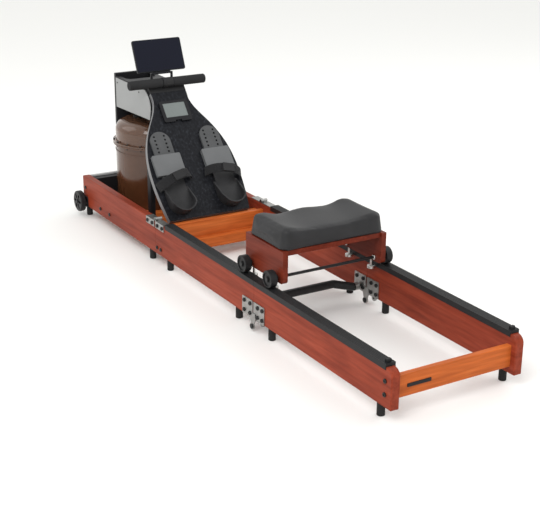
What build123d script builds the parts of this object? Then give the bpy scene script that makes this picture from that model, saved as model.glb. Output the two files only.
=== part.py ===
"""Folding water rowing machine: three hinged rail sections, upright water tank, sliding seat.

Millimetres, +Z up, +X towards the rear end, origin on the floor under the middle of the machine.
"""
import os
from math import cos, radians, sin, tan

from build123d import *

os.makedirs("parts", exist_ok=True)

# Driving dimensions: frame
frame_w = 470.0            # width over the outer faces of the rails
rail_t = 30.0              # rail thickness
rail_h = 122.0             # rail height
front_len = 665.0          # front section, carries the tank
mid_len = 705.0            # middle section
rear_len = 730.0           # rear section
joint_gap = 1.0            # slit between two sections
rail_edge = 2.0            # small chamfer on the long edges of the rails
rail_end_r = 26.0          # rounded top corner at the rear end
foot_h = 40.0
foot_r = 12.0
foot_in = 21.0             # first foot, back from the front end
foot_mid_out = 56.0        # front section's second foot, ahead of the first joint
foot_mid_in = 88.0         # middle section's first foot, behind the first joint
foot_c = 118.0             # middle section's second foot, ahead of the second joint
foot_d = 89.0              # rear section's first foot, behind the second joint
foot_e = 62.0              # last foot, ahead of the rear end
track_t = 10.0             # track thickness above the rail
track_lip_t = 2.0
track_lip_h = 8.0
track_front = 80.0         # wood left bare behind the first joint
track_rear = 28.0          # wood left bare at the rear end

# Driving dimensions: hinges and fasteners
top_pivot_h = 8.0          # first joint's pin above the rails
low_pivot_d = 22.0         # second joint's pin below the rails
leaf_t = 3.0
leaf_len = 66.0
leaf_gap = 5.0
top_leaf_w = 26.0
top_leaf_drop = 22.0
top_knuckle_r = 6.0
top_pin_r = 3.0
low_leaf_h = 60.0
low_knuckle_r = 11.0
low_pin_r = 5.0
layer_gap = 0.3            # side play between two hinge leaves
run_fit = 0.05             # radial clearance of a shaft in its bore
bolt_r = 4.0
bolt_head_r = 7.0
bolt_head_h = 4.0
bolt_len = 12.0

# Driving dimensions: transport wheels
t_wheel_r = 42.0
t_wheel_w = 22.0
t_wheel_x = 8.0            # centre, back from the front end
t_wheel_z = 60.0           # centre above the floor
t_axle_r = 5.0
t_bracket_t = 4.0
t_side_gap = 6.0           # bracket to wheel

# Driving dimensions: foot board
board_angle = 50.0         # slope
board_t = 20.0
board_len = 520.0
board_foot_x = 651.0       # lower front edge, back from the front end
board_foot_z = 145.0       # lower front edge above the floor
board_side_gap = 37.0      # lower edge to each rail
board_hip = 181.0          # widest half-width
board_neck = 74.0          # narrowest half-width
rest_y = 104.0             # centre of each foot rest
rest_half = 41.0           # half-width of the sliding foot plate
clamp_half = 58.0
plate_t = 8.0
heel_h = 46.0
heel_r = 50.0
heel_wall = 5.0
slide_play = 1.0

# Driving dimensions: tank and drive
tank_r = 150.0
tank_wall = 4.0
tank_x = 180.0             # tank axis, back from the front end
tank_floor = 90.0          # underside of the water space's floor
tank_split = 318.0         # underside of the flange
tank_shoulder = 374.0      # top of the straight upper wall
tank_top = 410.0           # flat top
tank_top_r = 104.0
flange_w = 11.0
flange_t = 6.0
gasket_t = 1.0
tank_bolts_n = 16
shaft_r = 6.0
impeller_r = 112.0
impeller_h = 110.0
blade_t = 4.0
blades_n = 6
drum_r = 38.0
drum_h = 30.0
platform_t = 18.0
platform_z = 59.0          # underside of the tank platform
beam_depth = 48.0
beam_h = 100.0
cap_t = 6.0                # grey cap on the front beam
skin = 3.0

# Driving dimensions: housing over the tank
house_half = 83.0
house_top = 551.0
house_low = 433.0          # lower edge at the front
house_low_rear = 443.0     # lower edge at the board
nose_x = 329.0             # rearmost point of the side panels, back from the front end
nose_z = 482.0
post_t = 14.0
post_top = 568.0
deck_t = 5.0
deck_gap = 3.0

# Driving dimensions: handle and display
handle_x = 308.0           # handle axis, back from the front end
handle_z = 579.0
handle_len = 320.0
grip_r = 17.5
bar_r = 11.0
clamp_w = 42.0
strap_w = 25.0
strap_t = 1.6
roller_r = 8.0
roller_x = 268.0
display_w = 204.0
display_h = 125.0
display_t = 9.0
display_lean = 23.0
display_pivot_x = 262.0
display_pivot_z = 604.0
strut_y = 43.0

# Driving dimensions: seat
seat_x = 1364.0            # middle of the seat at rest, back from the front end
seat_wheel_r = 28.0
seat_wheel_w = 24.0
seat_wheel_base = 158.0
seat_axle_r = 5.0
roll_gap = 0.3             # wheel tread above the track
seat_side_len = 228.0
seat_side_t = 18.0
seat_side_gap = 10.0       # seat side to the inner face of the rail
seat_side_top = 292.0
seat_side_low = 186.0
guide_pin_r = 4.0
guide_disc_r = 13.0
guide_disc_t = 8.0
guide_low = 152.0         # underside of the guide discs above the floor
guide_front = 77.0        # front guide, ahead of the seat's middle
guide_rear = 50.0         # rear guide, behind the seat's middle
pad_t = 64.0
pad_len = 232.0
pad_over = 6.0             # pad past the outer face of each seat side
pad_taper = 9.0
pad_dish = 12.0            # depth of the hollow in the middle of the pad

# Positions that follow from the driving dimensions
rail_z = foot_h
rail_top = rail_z + rail_h
half_w = frame_w / 2
inner_half = half_w - rail_t
rail_mid_y = half_w - rail_t / 2
total_len = front_len + mid_len + rear_len
overhang = t_wheel_r - t_wheel_x
front_x = -(total_len + overhang) / 2 + overhang
joint1_x = front_x + front_len
joint2_x = joint1_x + mid_len
rear_x = joint2_x + rear_len
pivot1_z = rail_top + top_pivot_h
pivot2_z = rail_z - low_pivot_d
track_top = rail_top + track_t
slope = radians(board_angle)
board_x = front_x + board_foot_x
tank_cx = front_x + tank_x
seat_cx = front_x + seat_x
axle_z = track_top + seat_wheel_r + roll_gap

# The foot board's own plane: x across, y up the slope, z out towards the rower
board_plane = Plane(
    origin=(board_x, 0, board_foot_z), x_dir=(0, 1, 0), z_dir=(sin(slope), 0, cos(slope))
)


def board_front_x(z):
    """X of the board's front face at height z."""
    return board_x - (z - board_foot_z) / tan(slope)


def board_back_x(z):
    """X of the board's back face at height z."""
    return board_front_x(z) - board_t / sin(slope)


def both_sides(x, y, z):
    """The same place on the near and the far side."""
    return [(x, -y, z), (x, y, z)]


def side_bolts(places, y):
    """Bolts through faces at +y and -y, heads away from the middle plane."""
    near = [Location((x, -y, z), (90, 0, 0)) for x, z in places]
    far = [Location((x, y, z), (-90, 0, 0)) for x, z in places]
    return near + far


def inner_bolts(places, y):
    """Bolts through faces at +y and -y, heads towards the middle plane."""
    near = [Location((x, -y, z), (-90, 0, 0)) for x, z in places]
    far = [Location((x, y, z), (90, 0, 0)) for x, z in places]
    return near + far


def save(piece, name):
    """Label a finished piece and write its file."""
    piece.part.label = name
    export_step(piece.part, f"parts/{name}.step")


# Shared fasteners: a button-head bolt with its seat at z = 0, and the hole it sits in
with BuildPart() as bolt:
    Cylinder(bolt_head_r, bolt_head_h, align=(Align.CENTER, Align.CENTER, Align.MIN))
    fillet(bolt.edges().group_by(Axis.Z)[-1], bolt_head_h * 0.45)
    with BuildSketch(Plane.XY.offset(bolt_head_h)):
        RegularPolygon(bolt_head_r * 0.42, 6)
    extrude(amount=-bolt_head_h * 0.6, mode=Mode.SUBTRACT)
    Cylinder(bolt_r, bolt_len, align=(Align.CENTER, Align.CENTER, Align.MAX))

with BuildPart() as bolt_hole:
    Cylinder(bolt_r + run_fit, bolt_len + 1, align=(Align.CENTER, Align.CENTER, Align.MAX))
    Cylinder(bolt_r + run_fit, leaf_t * 3, align=(Align.CENTER, Align.CENTER, Align.MIN))

# Bolt places as (x, z) on the side faces of the rails
beam_bolts = [(front_x + beam_depth / 2, rail_top - 44)]
platform_bolts = [(front_x + 169, platform_z + platform_t / 2), (front_x + 256, platform_z + platform_t / 2)]
front_side_bolts = beam_bolts + platform_bolts
cross_bolts = [(joint1_x + 12, rail_z + 25), (joint1_x + 42, rail_z + 25)]
end_bolts = [(rear_x - 29, rail_z + 81), (rear_x - 29, rail_z + 40)]

# Bolts of the top hinges, on the leaves' side flanges
top_leaf_front = joint1_x - leaf_gap - leaf_len
top_leaf_rear = joint1_x + leaf_gap
top_bolt_z = rail_top - top_leaf_drop / 2
front_leaf_bolts = [(top_leaf_front + d, top_bolt_z) for d in (13, 50)]
mid_leaf_bolts = [(top_leaf_rear + d, top_bolt_z) for d in (16, 53)]

# Bolts of the low hinges, four in each leaf
low_leaf_front = joint2_x - leaf_gap / 2 - leaf_len
low_leaf_rear = joint2_x + leaf_gap / 2
low_leaf_z = rail_z + 2
low_bolt_z = (low_leaf_z + 14, low_leaf_z + low_leaf_h - 13)
low_mid_bolts = [(low_leaf_front + d, z) for d in (14, 50) for z in low_bolt_z]
low_rear_bolts = [(low_leaf_rear + d, z) for d in (26, 54) for z in low_bolt_z]

# ---------------------------------------------------------------- front section

with BuildPart() as front_rails:
    with Locations(*both_sides(front_x + (front_len - joint_gap / 2) / 2, rail_mid_y, rail_z + rail_h / 2)):
        Box(front_len - joint_gap / 2, rail_t, rail_h)
    chamfer(front_rails.edges().filter_by(Axis.X), rail_edge)
    with Locations(*side_bolts(front_side_bolts, half_w)):
        add(bolt_hole.part, mode=Mode.SUBTRACT)
    with Locations(*side_bolts(front_leaf_bolts, half_w)):
        add(bolt_hole.part, mode=Mode.SUBTRACT)
save(front_rails, "front_rails")

# Front beam hollowed round the tank, with a narrow cap along its front edge
beam_x = front_x + 2
with BuildPart() as front_beam:
    with BuildSketch(Plane.XY.offset(rail_top - cap_t - beam_h)):
        with Locations((beam_x + beam_depth / 2, 0)):
            Rectangle(beam_depth, 2 * inner_half)
        with Locations((tank_cx, 0)):
            Circle(tank_r + 6, mode=Mode.SUBTRACT)
    extrude(amount=beam_h)
save(front_beam, "front_beam")

with BuildPart() as front_cap:
    with Locations((beam_x + post_t / 2, 0, rail_top - cap_t / 2)):
        Box(post_t, 2 * inner_half, cap_t)
save(front_cap, "front_cap")

platform_front = beam_x + beam_depth + 12
platform_rear = front_x + 480
with BuildPart() as tank_platform:
    with Locations(((platform_front + platform_rear) / 2, 0, platform_z + platform_t / 2)):
        Box(platform_rear - platform_front, 2 * inner_half, platform_t)
    chamfer(tank_platform.edges().filter_by(Axis.Y), 1.5)
save(tank_platform, "tank_platform")

# Upright panel that carries the front of the housing, standing on the front beam's cap
with BuildPart() as front_post:
    with BuildSketch(Plane.XY.offset(rail_top)):
        with Locations((beam_x + post_t / 2, 0)):
            Rectangle(post_t, 2 * house_half)
    extrude(amount=post_top - rail_top)
    fillet(front_post.edges().filter_by(Axis.Y).group_by(Axis.Z)[-1], 3)
save(front_post, "front_post")

house_front = beam_x + post_t
with BuildPart() as housing_sides:
    with BuildSketch(Plane.XZ.offset(-(house_half - skin))):
        with BuildLine():
            Line((house_front, house_low), (house_front, house_top))
            Line((house_front, house_top), (board_back_x(house_top) - deck_gap, house_top))
            ThreePointArc(
                (board_back_x(house_top) - deck_gap, house_top),
                (front_x + nose_x - 13, nose_z + 0.58 * (house_top - nose_z)),
                (front_x + nose_x, nose_z),
            )
            Line((front_x + nose_x, nose_z), (front_x + nose_x - 8, house_low_rear))
            Line((front_x + nose_x - 8, house_low_rear), (house_front, house_low))
        make_face()
    extrude(amount=-skin)
    mirror(about=Plane.XZ)
save(housing_sides, "housing_sides")

deck_rear = board_back_x(house_top + deck_t) - deck_gap
recess_len = 78.0
with BuildPart() as housing_deck:
    with BuildSketch(Plane.XY.offset(house_top)):
        with Locations(((house_front + deck_rear) / 2, 0)):
            Rectangle(deck_rear - house_front, 2 * house_half)
        with Locations((house_front, 0)):
            RectangleRounded(2 * recess_len, 2 * (house_half - 20), 24, mode=Mode.SUBTRACT)
        with Locations((front_x + roller_x - 10, 0)):
            Rectangle(14, strap_w + 8, mode=Mode.SUBTRACT)
    extrude(amount=deck_t)
    fillet(housing_deck.faces().sort_by(Axis.Z)[-1].edges().filter_by(Axis.X), deck_t * 0.6)
save(housing_deck, "housing_deck")

# Two upright struts from the platform to the back of the foot board
strut_x = front_x + 437
strut_in_y = 138.0
strut_d = 26.0
low_corner_x = board_x - board_t * sin(slope)
low_corner_z = board_foot_z - board_t * cos(slope)
with BuildPart() as board_supports:
    with BuildSketch(Plane.XY.offset(platform_z + platform_t)):
        with Locations((strut_x, -strut_in_y), (strut_x, strut_in_y)):
            RectangleRounded(strut_d, 22, 4)
    extrude(amount=board_len * sin(slope))
    split(bisect_by=board_plane.offset(-board_t), keep=Keep.BOTTOM)
    with Locations(*both_sides(strut_x, strut_in_y, platform_z + platform_t + 2)):
        Box(strut_d + 30, 34, 4)
    # Angled rib along the lower end of the board, screwed to the cross board below it
    with BuildSketch(Plane.XZ):
        Polygon(
            (low_corner_x - 9, low_corner_z),
            (low_corner_x, low_corner_z),
            (low_corner_x - 60 * cos(slope), low_corner_z + 60 * sin(slope)),
            (low_corner_x - 60 * cos(slope) - 4, low_corner_z + 60 * sin(slope) - 3),
            (low_corner_x - 14, low_corner_z - 30),
            (low_corner_x - 9, low_corner_z - 30),
            align=None,
        )
    extrude(amount=inner_half - 70, both=True)
save(board_supports, "board_supports")

with BuildPart() as front_cross:
    with Locations((low_corner_x, 0, (rail_z + 5 + low_corner_z) / 2)):
        Box(18, 2 * inner_half, low_corner_z - rail_z - 5)
save(front_cross, "front_cross")

# Foot board: a bottle-shaped outline, mirrored about its middle line
board_low = inner_half - board_side_gap
with BuildPart() as foot_board:
    with BuildSketch(board_plane):
        with BuildLine():
            Spline(
                (board_low, 0),
                (board_hip, 0.27 * board_len),
                (board_hip - 14, 0.54 * board_len),
                (board_hip - 56, 0.73 * board_len),
                (board_neck, 0.93 * board_len),
                (board_neck + 1, board_len),
            )
            Line((board_neck + 1, board_len), (0, board_len))
            Line((0, 0), (board_low, 0))
            mirror(about=Plane.YZ)
        make_face()
    extrude(amount=-board_t)
save(foot_board, "foot_board")

# Moulded cap that ends the board and cradles the handle in a shallow groove
handle_s = (board_foot_x - handle_x) * cos(slope) + (handle_z - board_foot_z) * sin(slope)
handle_n = (handle_x - board_foot_x) * sin(slope) + (handle_z - board_foot_z) * cos(slope)
cap_top = handle_s + 3
with BuildPart() as handle_rest:
    with BuildSketch(board_plane):
        with Locations((0, (board_len + 0.2 + cap_top) / 2)):
            Rectangle(2 * (board_neck + 1), cap_top - board_len - 0.2)
    extrude(amount=-board_t)
    chamfer(handle_rest.faces().sort_by(Axis.Z)[-1].edges().filter_by(Axis.Y), 3)
    with Locations(board_plane * Location((0, handle_s, handle_n), (0, 90, 0))):
        Cylinder(grip_r + 2, 2 * board_neck + 10, mode=Mode.SUBTRACT)
save(handle_rest, "handle_rest")

console_low = 390.0
console_h = 88.0
console_w = 118.0
screen_w = 92.0
screen_h = 59.0
screen_low = console_low + 19
with BuildPart() as console_bezel:
    with BuildSketch(board_plane):
        with Locations((0, console_low + console_h / 2)):
            RectangleRounded(console_w, console_h, 8)
        with Locations((0, console_low)):
            Rectangle(26, 12, mode=Mode.SUBTRACT)
    extrude(amount=9)
    with BuildSketch(board_plane.offset(9)):
        with Locations((0, screen_low + screen_h / 2)):
            RectangleRounded(screen_w + 0.4, screen_h + 0.4, 2)
    extrude(amount=-5, mode=Mode.SUBTRACT)
save(console_bezel, "console_bezel")

with BuildPart() as console_screen:
    with BuildSketch(board_plane.offset(4)):
        with Locations((0, screen_low + screen_h / 2)):
            RectangleRounded(screen_w, screen_h, 2)
    extrude(amount=3.5)
save(console_screen, "console_screen")

# Fixed bridges over the sliding foot plates, each standing on the board by its two legs
clamp_low = 176.0
clamp_high = 260.0
bridge_n = slide_play + plate_t + slide_play
with BuildPart() as foot_clamps:
    with BuildSketch(board_plane):
        with Locations((-rest_y, (clamp_low + clamp_high) / 2), (rest_y, (clamp_low + clamp_high) / 2)):
            RectangleRounded(2 * clamp_half, clamp_high - clamp_low, 5)
    extrude(amount=bridge_n + 5)
    with BuildSketch(board_plane):
        with Locations((-rest_y, (clamp_low + clamp_high) / 2), (rest_y, (clamp_low + clamp_high) / 2)):
            Rectangle(2 * (rest_half + slide_play), clamp_high - clamp_low + 2)
    extrude(amount=bridge_n, mode=Mode.SUBTRACT)
save(foot_clamps, "foot_clamps")

# Webbing bands arched over each foot, lower outside than inside, ending on the board
strap_mid = 151.0
strap_band = 38.0
strap_rise = 62.0
strap_turn = radians(15)
arch_half = (clamp_half + 13) / cos(strap_turn)


def strap_plane(side):
    """Plane of one band's arch, turned about the board's normal."""
    up = board_plane.y_dir * cos(strap_turn) + board_plane.x_dir * side * sin(strap_turn)
    across = board_plane.x_dir * cos(strap_turn) - board_plane.y_dir * side * sin(strap_turn)
    middle = board_plane.origin + board_plane.y_dir * strap_mid + board_plane.x_dir * side * rest_y
    return Plane(middle, x_dir=across, z_dir=-up)


with BuildPart() as foot_straps:
    for side in (-1, 1):
        with BuildSketch(strap_plane(side)):
            Ellipse(arch_half, strap_rise)
            Ellipse(arch_half - 3, strap_rise - 3, mode=Mode.SUBTRACT)
            with Locations((0, -strap_rise)):
                Rectangle(3 * arch_half, 2 * strap_rise, mode=Mode.SUBTRACT)
        extrude(amount=strap_band / 2, both=True)
save(foot_straps, "foot_straps")

with BuildPart() as strap_buckles:
    for side in (-1, 1):
        with BuildSketch(strap_plane(side)):
            with Locations((0, strap_rise)):
                Rectangle(46, 12)
            Ellipse(arch_half + 0.02, strap_rise + 0.02, mode=Mode.SUBTRACT)
        extrude(amount=16, both=True)
save(strap_buckles, "strap_buckles")

# ---------------------------------------------------------------- tank and drive

foot_ring = tank_floor - platform_z - platform_t
with BuildPart() as tank_lower:
    with BuildSketch(Plane.XZ):
        with Locations((tank_r / 2, tank_floor + tank_wall / 2)):
            Rectangle(tank_r, tank_wall)
        with Locations((tank_r - tank_wall / 2, (tank_floor + tank_split) / 2)):
            Rectangle(tank_wall, tank_split - tank_floor)
        with Locations((tank_r - 6, tank_floor - foot_ring / 2)):
            Rectangle(12, foot_ring)
        with Locations((tank_r, tank_split - 26)):
            Rectangle(5, 5)
        with Locations((tank_r - tank_wall + (flange_w + tank_wall) / 2, tank_split + flange_t / 2)):
            Rectangle(flange_w + tank_wall, flange_t)
    revolve(axis=Axis.Z)
tank_lower.part = tank_lower.part.moved(Location((tank_cx, 0, 0)))
save(tank_lower, "tank_lower")

gasket_z = tank_split + flange_t
with BuildPart() as tank_gasket:
    with Locations((tank_cx, 0, gasket_z + gasket_t / 2)):
        Cylinder(tank_r + 2, gasket_t)
        Cylinder(tank_r - tank_wall, gasket_t, mode=Mode.SUBTRACT)
save(tank_gasket, "tank_gasket")

upper_z = gasket_z + gasket_t
neck_r = 24.0
with BuildPart() as tank_upper:
    with BuildSketch(Plane.XZ):
        with BuildLine():
            Polyline(
                (tank_r - tank_wall, upper_z),
                (tank_r + flange_w, upper_z),
                (tank_r + flange_w, upper_z + flange_t),
                (tank_r, upper_z + flange_t),
                (tank_r, tank_shoulder),
            )
            ThreePointArc(
                (tank_r, tank_shoulder),
                (tank_top_r + 0.74 * (tank_r - tank_top_r), tank_shoulder + 0.7 * (tank_top - tank_shoulder)),
                (tank_top_r, tank_top),
            )
            Polyline(
                (tank_top_r, tank_top),
                (neck_r, tank_top),
                (neck_r, tank_top + 10),
                (shaft_r + 2, tank_top + 10),
                (shaft_r + 2, tank_top - tank_wall),
                (tank_top_r, tank_top - tank_wall),
            )
            ThreePointArc(
                (tank_top_r, tank_top - tank_wall),
                (
                    tank_top_r - tank_wall * 0.7 + 0.74 * (tank_r - tank_top_r),
                    tank_shoulder - tank_wall * 0.7 + 0.7 * (tank_top - tank_shoulder),
                ),
                (tank_r - tank_wall, tank_shoulder),
            )
            Line((tank_r - tank_wall, tank_shoulder), (tank_r - tank_wall, upper_z))
        make_face()
    revolve(axis=Axis.Z)
    with Locations((-62, -40, tank_top)):
        Cylinder(13, 4 * tank_wall, mode=Mode.SUBTRACT)
tank_upper.part = tank_upper.part.moved(Location((tank_cx, 0, 0)))
save(tank_upper, "tank_upper")

with BuildPart() as fill_plug:
    with Locations((tank_cx - 62, -40, tank_top)):
        Cylinder(17, 7, align=(Align.CENTER, Align.CENTER, Align.MIN))
        Cylinder(12.9, tank_wall, align=(Align.CENTER, Align.CENTER, Align.MAX))
    fillet(fill_plug.edges().group_by(Axis.Z)[-1], 2)
save(fill_plug, "fill_plug")

# Clamping screws around the flange, heads above and nuts below
with BuildPart() as tank_bolts:
    with Locations((tank_cx, 0, upper_z + flange_t)):
        with PolarLocations(tank_r + flange_w / 2 + 1, tank_bolts_n):
            Cylinder(3.6, 4, align=(Align.CENTER, Align.CENTER, Align.MIN))
    with Locations((tank_cx, 0, tank_split)):
        with PolarLocations(tank_r + flange_w / 2 + 1, tank_bolts_n):
            Cylinder(3.4, 4, align=(Align.CENTER, Align.CENTER, Align.MAX))
save(tank_bolts, "tank_bolts")

# Plate between the housing's sides with the upper bearing, and the lower bearing in the tank
plate_z = house_low_rear + 1
shaft_low = tank_floor + tank_wall + 3
drum_z = plate_z + skin + 14
with BuildPart() as shaft_bearings:
    with Locations((tank_cx, 0, plate_z + skin / 2)):
        Box(240, 2 * (house_half - skin), skin)
    with Locations((tank_cx, 0, plate_z + skin)):
        Cylinder(20, 12, align=(Align.CENTER, Align.CENTER, Align.MIN))
        Cylinder(shaft_r + run_fit, 40, mode=Mode.SUBTRACT)
    with Locations((tank_cx, 0, tank_floor + tank_wall)):
        Cylinder(16, 12, align=(Align.CENTER, Align.CENTER, Align.MIN))
    with Locations((tank_cx, 0, shaft_low - 0.2)):
        Cylinder(
            shaft_r + run_fit, 20, align=(Align.CENTER, Align.CENTER, Align.MIN), mode=Mode.SUBTRACT
        )
save(shaft_bearings, "shaft_bearings")

shaft_top = drum_z + drum_h + 10
impeller_z = tank_floor + 34
with BuildPart() as impeller:
    with Locations((tank_cx, 0, impeller_z)):
        Cylinder(20, impeller_h, align=(Align.CENTER, Align.CENTER, Align.MIN))
        with PolarLocations(0, blades_n):
            with Locations((impeller_r / 2 + 5, 0, impeller_h / 2)):
                Box(impeller_r - 10, blade_t, impeller_h - 10)
    with Locations((tank_cx, 0, shaft_low)):
        Cylinder(shaft_r, shaft_top - shaft_low, align=(Align.CENTER, Align.CENTER, Align.MIN))
save(impeller, "impeller")

with BuildPart() as strap_drum:
    with Locations((tank_cx, 0, drum_z)):
        Cylinder(drum_r + 8, skin, align=(Align.CENTER, Align.CENTER, Align.MIN))
        Cylinder(drum_r, drum_h, align=(Align.CENTER, Align.CENTER, Align.MIN))
    with Locations((tank_cx, 0, drum_z + drum_h - skin)):
        Cylinder(drum_r + 8, skin, align=(Align.CENTER, Align.CENTER, Align.MIN))
    with Locations((tank_cx, 0, drum_z + drum_h / 2)):
        Cylinder(shaft_r + run_fit, drum_h + 2, mode=Mode.SUBTRACT)
save(strap_drum, "strap_drum")

case_z = drum_z + drum_h + 3
with BuildPart() as recoil_case:
    with Locations((tank_cx, 0, case_z)):
        Cylinder(drum_r + 8, 22, align=(Align.CENTER, Align.CENTER, Align.MIN))
        Cylinder(shaft_r + 3, 60, mode=Mode.SUBTRACT)
        with PolarLocations(drum_r, 4, start_angle=45):
            Cylinder(4, house_top - case_z, align=(Align.CENTER, Align.CENTER, Align.MIN))
save(recoil_case, "recoil_case")

# Uprights on the deck: a low pair for the strap's roller, a tall pair for the display
roller_cx = front_x + roller_x
strap_z = handle_z - 2
roller_z = strap_z - strap_t / 2 - 0.3 - roller_r
deck_z = house_top + deck_t
pivot_x = front_x + display_pivot_x
lug_r = 5.0
with BuildPart() as deck_brackets:
    with Locations(*both_sides(roller_cx - 4, strap_w / 2 + 6, (deck_z + roller_z + 6) / 2)):
        Box(22, 4, roller_z + 6 - deck_z)
    with Locations(*both_sides(roller_cx - 4, strap_w / 2 + 11, deck_z + 1.5)):
        Box(22, 10, 3)
    with Locations((roller_cx, 0, roller_z)):
        Cylinder(3 + run_fit, strap_w + 30, rotation=(90, 0, 0), mode=Mode.SUBTRACT)
    with Locations(*both_sides(pivot_x, strut_y, (deck_z + display_pivot_z + lug_r) / 2)):
        Box(8, 7, display_pivot_z + lug_r - deck_z)
    with Locations(*both_sides(pivot_x - 12, strut_y + 2, deck_z + 1.5)):
        Box(34, 16, 3)
    with Locations((pivot_x, 0, display_pivot_z)):
        Cylinder(2 + run_fit, 2 * strut_y + 20, rotation=(90, 0, 0), mode=Mode.SUBTRACT)
save(deck_brackets, "deck_brackets")

with BuildPart() as guide_roller:
    with Locations((roller_cx, 0, roller_z)):
        Cylinder(roller_r, strap_w + 6, rotation=(90, 0, 0))
        Cylinder(3, strap_w + 16, rotation=(90, 0, 0))
save(guide_roller, "guide_roller")

# ---------------------------------------------------------------- handle

handle_cx = front_x + handle_x
eye_x = handle_cx - grip_r - 4
with BuildPart() as handle_bar:
    with Locations((handle_cx, 0, handle_z)):
        Cylinder(bar_r, handle_len - 4, rotation=(90, 0, 0))
        Cylinder(grip_r + 1, clamp_w - 0.4, rotation=(90, 0, 0))
    with Locations((eye_x + 8, 0, strap_z)):
        Box(16, strap_w + 6, 9)
save(handle_bar, "handle_bar")

grip_len = (handle_len - clamp_w) / 2
with BuildPart() as handle_grips:
    with Locations(*both_sides(handle_cx, clamp_w / 2 + grip_len / 2, handle_z)):
        Cylinder(grip_r, grip_len, rotation=(90, 0, 0))
    fillet(handle_grips.edges().filter_by(GeomType.CIRCLE), 4)
    with Locations((handle_cx, 0, handle_z)):
        Cylinder(bar_r, handle_len - 4, rotation=(90, 0, 0), mode=Mode.SUBTRACT)
save(handle_grips, "handle_grips")

with BuildPart() as pull_strap:
    with Locations(((eye_x + roller_cx) / 2, 0, strap_z)):
        Box(eye_x - roller_cx, strap_w, strap_t)
save(pull_strap, "pull_strap")

# ---------------------------------------------------------------- display

# Slab leaning back about the pivot line; two lugs and a thin rod hang it between the struts
lean = radians(display_lean)
display_plane = Plane(
    origin=(pivot_x, 0, display_pivot_z), x_dir=(0, 1, 0), z_dir=(cos(lean), 0, sin(lean))
)
with BuildPart() as display:
    with BuildSketch(display_plane):
        with Locations((0, lug_r + 3 + display_h / 2)):
            RectangleRounded(display_w, display_h, 7)
    extrude(amount=display_t)
    fillet(display.faces().sort_by(Axis.X)[-1].edges(), 1.2)
    with BuildSketch(display_plane):
        with Locations((0, (lug_r + 8) / 2)):
            Rectangle(2 * strut_y - 9, lug_r + 8)
    extrude(amount=4)
    with Locations((pivot_x, 0, display_pivot_z)):
        Cylinder(2, 2 * strut_y + 7, rotation=(90, 0, 0))
save(display, "display")

# ---------------------------------------------------------------- sliding foot plates

row_pitch = 16.0
plate_top = 356.0
heel_s = 16.0 + heel_r
cup_len = 60.0             # straight part of the cup above the heel's round
cup_fall = Plane(
    board_plane.origin + board_plane.y_dir * (heel_s - 20) + board_plane.z_dir * (slide_play + heel_h),
    x_dir=board_plane.x_dir,
    z_dir=board_plane.z_dir * 1.9 + board_plane.y_dir,
)


def foot_slider(side):
    """Perforated plate with its heel cup, side is -1 on the near side and +1 on the far side."""
    y = side * rest_y
    with BuildPart() as slider:
        with BuildSketch(board_plane.offset(slide_play)):
            with Locations((y, heel_s)):
                Circle(heel_r)
            with Locations((y, heel_s + cup_len / 2)):
                Rectangle(2 * heel_r, cup_len)
        extrude(amount=heel_h)
        with BuildSketch(board_plane.offset(slide_play + plate_t)):
            with Locations((y, heel_s)):
                Circle(heel_r - heel_wall)
            with Locations((y, heel_s + cup_len)):
                Rectangle(2 * (heel_r - heel_wall), 2 * cup_len)
        extrude(amount=heel_h, mode=Mode.SUBTRACT)
        # The cup's wall falls away from the heel to the ball of the foot
        split(bisect_by=cup_fall, keep=Keep.BOTTOM)
        with BuildSketch(board_plane.offset(slide_play)):
            with Locations((y, (heel_s + plate_top - rest_half) / 2)):
                Rectangle(2 * rest_half, plate_top - rest_half - heel_s)
            with Locations((y, plate_top - rest_half)):
                Circle(rest_half)
            with Locations((y, plate_top - rest_half - 10)):
                with GridLocations(rest_half, row_pitch, 2, 5):
                    Circle(4.2, mode=Mode.SUBTRACT)
        extrude(amount=plate_t)
    return slider


heel_slider_left = foot_slider(-1)
save(heel_slider_left, "heel_slider_left")
heel_slider_right = foot_slider(1)
save(heel_slider_right, "heel_slider_right")

# ---------------------------------------------------------------- transport wheels and feet

wheel_cx = front_x + t_wheel_x
wheel_in = half_w + t_bracket_t + t_side_gap
with BuildPart() as wheel_brackets:
    with BuildSketch(Plane.XZ.offset(half_w)):
        with Locations((front_x + 24, t_wheel_z)):
            RectangleRounded(44, 44, 8)
    extrude(amount=t_bracket_t)
    with Locations((wheel_cx, -half_w - t_bracket_t, t_wheel_z)):
        Cylinder(10, t_side_gap - 0.5, rotation=(90, 0, 0), align=(Align.CENTER, Align.CENTER, Align.MIN))
        Cylinder(
            t_axle_r, t_side_gap + t_wheel_w + 4, rotation=(90, 0, 0),
            align=(Align.CENTER, Align.CENTER, Align.MIN),
        )
    with Locations((wheel_cx, -wheel_in - t_wheel_w - 0.6, t_wheel_z)):
        Cylinder(8, 3, rotation=(90, 0, 0), align=(Align.CENTER, Align.CENTER, Align.MIN))
    mirror(about=Plane.XZ)
save(wheel_brackets, "wheel_brackets")


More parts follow.
